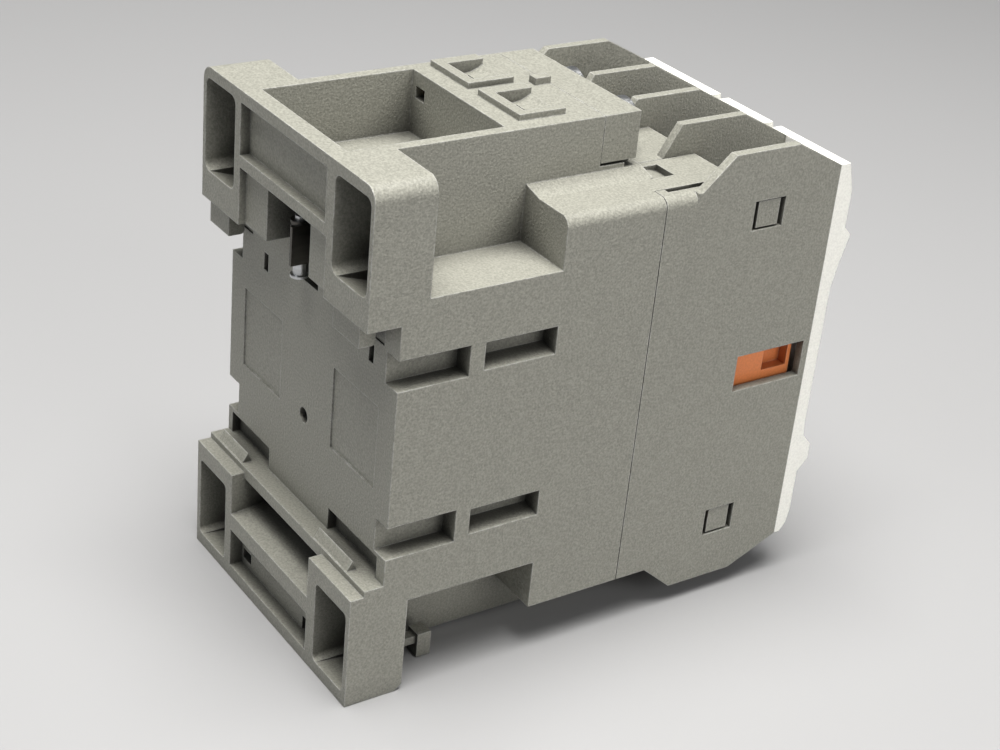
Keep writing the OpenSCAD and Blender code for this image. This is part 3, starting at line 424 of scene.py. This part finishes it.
def coil_spring(centre, axis, length, radius, wire, turns):
    """A round-wire compression spring that starts at centre and runs along axis, 'Y-' or 'Z'."""
    deselect_all()
    bpy.ops.mesh.primitive_circle_add(
        vertices=WIRE_SIDES, radius=wire / 2, fill_type="NOTHING", location=(radius, 0, 0),
        rotation=(math.pi / 2, 0, 0))
    spring = bpy.context.object
    bpy.ops.object.transform_apply(location=True, rotation=True, scale=True)
    screw = spring.modifiers.new("turns", "SCREW")
    screw.axis = "Z"
    screw.angle = 2 * math.pi * turns
    screw.steps = int(TURN_STEPS * turns)
    screw.render_steps = screw.steps
    screw.screw_offset = 0.0
    screw.use_smooth_shade = True
    bpy.ops.object.modifier_apply(modifier=screw.name)
    # the turns come out flat, so each ring is lifted by its share of the rise
    mesh = spring.data
    rings = len(mesh.vertices) // WIRE_SIDES
    free = length - wire
    work = bmesh.new()
    work.from_mesh(mesh)
    work.verts.ensure_lookup_table()
    for i, vert in enumerate(work.verts):
        turn = (i // WIRE_SIDES) / (rings - 1) * turns
        vert.co.z += spring_rise(turn, turns, wire, free) + wire / 2
    ends = [e for e in work.edges if e.is_boundary]
    bmesh.ops.holes_fill(work, edges=ends, sides=WIRE_SIDES)
    bmesh.ops.recalc_face_normals(work, faces=work.faces)
    work.to_mesh(mesh)
    work.free()
    if axis == "Y-":
        spring.rotation_euler = (math.pi / 2, 0, 0)
    spring.location = centre
    return spring


def spring_rise(turn, turns, wire, free):
    """Height of the wire after some turns: the end turns lie close, the rest share the length."""
    tight = wire * CLOSE_PITCH
    middle = (free - 2 * CLOSED_TURNS * tight) / (turns - 2 * CLOSED_TURNS)
    if turn < CLOSED_TURNS:
        return turn * tight
    if turn > turns - CLOSED_TURNS:
        return free - (turns - turn) * tight
    return CLOSED_TURNS * tight + (turn - CLOSED_TURNS) * middle


def node_boxes(name):
    """Boxes of a CAD node's separate lumps, sorted by X and then Z."""
    work = bmesh.new()
    work.from_mesh(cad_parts[name].data)
    bmesh.ops.remove_doubles(work, verts=work.verts, dist=SAME_POINT)
    seen, boxes = set(), []
    for vert in work.verts:
        if vert in seen:
            continue
        stack, lump = [vert], []
        seen.add(vert)
        while stack:
            here = stack.pop()
            lump.append(here.co.copy())
            for edge in here.link_edges:
                there = edge.other_vert(here)
                if there not in seen:
                    seen.add(there)
                    stack.append(there)
        low = Vector([min(c[i] for c in lump) for i in range(3)])
        high = Vector([max(c[i] for c in lump) for i in range(3)])
        boxes.append((low, high))
    work.free()
    return sorted(boxes, key=lambda b: (round(b[0].x, 4), round(b[0].z, 4)))


# ---------------------------------------------------------------- operators

class CONTACTOR_OT_mouldings(bpy.types.Operator):
    """Give the plastic pieces their grained finishes"""
    bl_idname = "contactor.mouldings"
    bl_label = "Finish the mouldings"

    def execute(self, context):
        look = context.scene.contactor_moulding
        # the casing gets the strongest painted shade in its hollows
        casing = moulded_plastic("casing_grey", look.casing, look.grain, look.edge,
                                 rough=0.50, relief=0.60, edge_wear_and_highlight=0.60, speckle=0.30, hollow_shade_strength=0.88)
        cover = moulded_plastic("cover_cream", look.cover, look.grain, look.edge,
                                rough=0.48, relief=0.16, edge_wear_and_highlight=0.2)
        carrier = moulded_plastic("carrier_orange", look.carrier, look.grain, look.edge,
                                  rough=0.40, relief=0.12, edge_wear_and_highlight=0.3)
        bobbin = moulded_plastic("bobbin_black", look.bobbin, look.grain, look.edge,
                                 rough=0.45, relief=0.2, edge_wear_and_highlight=0.1)
        finish_nodes(["base_housing", "front_housing", "coil_terminal_block"], casing)
        finish_nodes(["front_cover"], cover)
        finish_nodes(["contact_carrier"], carrier)
        finish_nodes(["coil_bobbin"], bobbin)
        finish_nodes(["core_cushion"], soft_rubber("cushion_rubber"))
        return {"FINISHED"}


class CONTACTOR_OT_metalwork(bpy.types.Operator):
    """Give the core, strips, screws and tips their metal finishes"""
    bl_idname = "contactor.metalwork"
    bl_label = "Finish the metalwork"

    def execute(self, context):
        look = context.scene.contactor_metal
        zinc = rolled_metal("zinc_steel", look.zinc, 0.34)
        bare = rolled_metal("bare_steel", shade(look.zinc, 0.8), 0.30)
        brass = rolled_metal("rolled_brass", look.brass, 0.32)
        copper = rolled_metal("bare_copper", look.copper, 0.30)
        silver = rolled_metal("silver_alloy", (0.80, 0.79, 0.76), 0.36)
        sheets = stacked_sheets("core_sheets", (0.36, 0.36, 0.37), look.sheet)
        finish_nodes(["fixed_core", "armature"], sheets)
        finish_nodes(["shading_rings"], copper)
        finish_nodes(["coil_winding"], wound_wire("enamelled_wire", look.copper, pitch=0.00022))
        finish_nodes(["bridge_tips", "fixed_tips"], silver)
        strips = [f"{side}_terminal_{i}" for side in ("line", "load") for i in range(1, 5)]
        finish_nodes(strips + [f"bridge_{i}" for i in range(1, 5)] + ["coil_terminals"], brass)
        finish_nodes(["coil_clamp_washers", "coil_screws", "coil_nuts", "line_screws",
                      "load_screws", "line_clamp_washers", "load_clamp_washers", "terminal_nuts",
                      "armature_pin", "rail_stud"], zinc)
        finish_nodes(["arc_plates"], bare)
        # the rail spring's saddle is painted near black: painted shade for the shadow inside it
        saddle_shade_steel = rolled_metal("saddle_painted_shade_steel", (0.10, 0.095, 0.085), 0.38)
        finish_nodes(["rail_spring_saddle"], saddle_shade_steel)
        return {"FINISHED"}


class CONTACTOR_OT_springs(bpy.types.Operator):
    """Wind the contact, return and rail springs in round wire"""
    bl_idname = "contactor.springs"
    bl_label = "Wind the springs"

    def execute(self, context):
        look = context.scene.contactor_metal
        steel = rolled_metal("spring_wire", (0.50, 0.50, 0.51), 0.26)
        groups = (("contact_springs", "carrier", look.contact_wire, 5.5, "bridge_give"),
                  ("return_springs", "housing", look.return_wire, 7.0, "carrier_travel"))
        for node, body, wire, turns, joint in groups:
            made = []
            for i, (low, high) in enumerate(node_boxes(node), 1):
                middle = (low + high) / 2
                length = high.y - low.y
                spring = coil_spring((middle.x, high.y, middle.z), "Y-", length,
                                     (high.x - low.x - wire) / 2, wire, turns)
                made.append(settle(spring, f"{node[:-1]}_{i}", body, steel))
                # a contact spring stands on the carrier's window, a return spring on the bobbin
                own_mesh(made[-1])
            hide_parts(node)
        (low, high), = node_boxes("rail_spring")
        middle = (low + high) / 2
        length = high.z - low.z
        spring = coil_spring((middle.x, middle.y, low.z), "Z", length,
                             (high.x - low.x - look.rail_wire) / 2, look.rail_wire, 5.0)
        settle(spring, "rail_stud_spring", "housing", steel)
        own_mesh(spring)
        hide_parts("rail_spring")
        return {"FINISHED"}


class CONTACTOR_OT_stage(bpy.types.Operator):
    """Lay the floor, hang the lights and set the camera"""
    bl_idname = "contactor.stage"
    bl_label = "Set the stage"

    def execute(self, context):
        look = context.scene.contactor_studio
        low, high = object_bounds()
        deselect_all()
        bpy.ops.mesh.primitive_plane_add(size=FLOOR_SIZE, location=(0, 0, 0))
        floor = context.object
        floor.name = "studio_floor"
        for vert in floor.data.vertices:
            vert.co.z = low.z - FLOOR_GAP
        cover_object(floor, studio_floor("floor_paint", look.floor))
        floor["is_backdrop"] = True
        world = bpy.data.worlds.new("studio_air")
        context.scene.world = world
        world.use_nodes = True
        set_inputs(world.node_tree.nodes["Background"], Color=(*AIR_COLOUR, 1.0),
                   Strength=AIR_STRENGTH)
        centre = (low + high) / 2
        # name, place, size, power, colour
        lights = (
            ("key_panel", (-0.05, 0.02, 0.62), 0.42, look.key, (1.0, 0.985, 0.955)),
            ("side_panel", (-0.62, -0.16, 0.25), 0.40, look.fill, (1.0, 0.985, 0.96)),
            ("rear_panel", (0.05, 0.70, 0.35), 0.45, look.fill * 0.55, (0.97, 0.985, 1.0)))
        for name, place, size, power, colour in lights:
            data = bpy.data.lights.new(name, "AREA")
            data.shape = "SQUARE"
            data.size = size
            data.energy = power
            data.color = colour
            lamp = bpy.data.objects.new(name, data)
            context.scene.collection.objects.link(lamp)
            lamp.location = Vector(place)
            lamp.rotation_euler = (centre - lamp.location).to_track_quat("-Z", "Y").to_euler()
        data = bpy.data.cameras.new("studio_camera")
        data.sensor_width = SENSOR_WIDTH
        data.lens = look.lens
        data.clip_start = NEAR_CLIP
        camera = bpy.data.objects.new("studio_camera", data)
        context.scene.collection.objects.link(camera)
        camera.location = look.camera_place
        camera.rotation_euler = Euler(look.camera_turn, "XYZ")
        context.scene.camera = camera
        context.scene.view_settings.view_transform = "Standard"
        return {"FINISHED"}


class CONTACTOR_PT_panel(bpy.types.Panel):
    """Lists the contactor's steps and settings"""
    bl_label = "Contactor"
    bl_idname = "CONTACTOR_PT_panel"
    bl_space_type = "VIEW_3D"
    bl_region_type = "UI"
    bl_category = "Contactor"

    def draw(self, context):
        layout = self.layout
        scene = context.scene
        for title, group in (("Mouldings", scene.contactor_moulding),
                             ("Metal", scene.contactor_metal),
                             ("Studio", scene.contactor_studio)):
            box = layout.box()
            box.label(text=title)
            for key in group.bl_rna.properties.keys():
                if key not in ("rna_type", "name"):
                    box.prop(group, key)
        for step in STEPS:
            layout.operator(step.bl_idname)


STEPS = (CONTACTOR_OT_mouldings, CONTACTOR_OT_metalwork, CONTACTOR_OT_springs, CONTACTOR_OT_stage)
GROUPS = (("contactor_moulding", ContactorMoulding), ("contactor_metal", ContactorMetal),
          ("contactor_studio", ContactorStudio))


def register():
    for name, group in GROUPS:
        bpy.utils.register_class(group)
        setattr(bpy.types.Scene, name, bpy.props.PointerProperty(type=group))
    for step in STEPS:
        bpy.utils.register_class(step)
    bpy.utils.register_class(CONTACTOR_PT_panel)


def unregister():
    bpy.utils.unregister_class(CONTACTOR_PT_panel)
    for step in reversed(STEPS):
        bpy.utils.unregister_class(step)
    for name, group in reversed(GROUPS):
        delattr(bpy.types.Scene, name)
        bpy.utils.unregister_class(group)


def main():
    register()
    bpy.ops.contactor.mouldings()
    bpy.ops.contactor.metalwork()
    bpy.ops.contactor.springs()
    bpy.ops.contactor.stage()


if __name__ == "__main__":
    main()
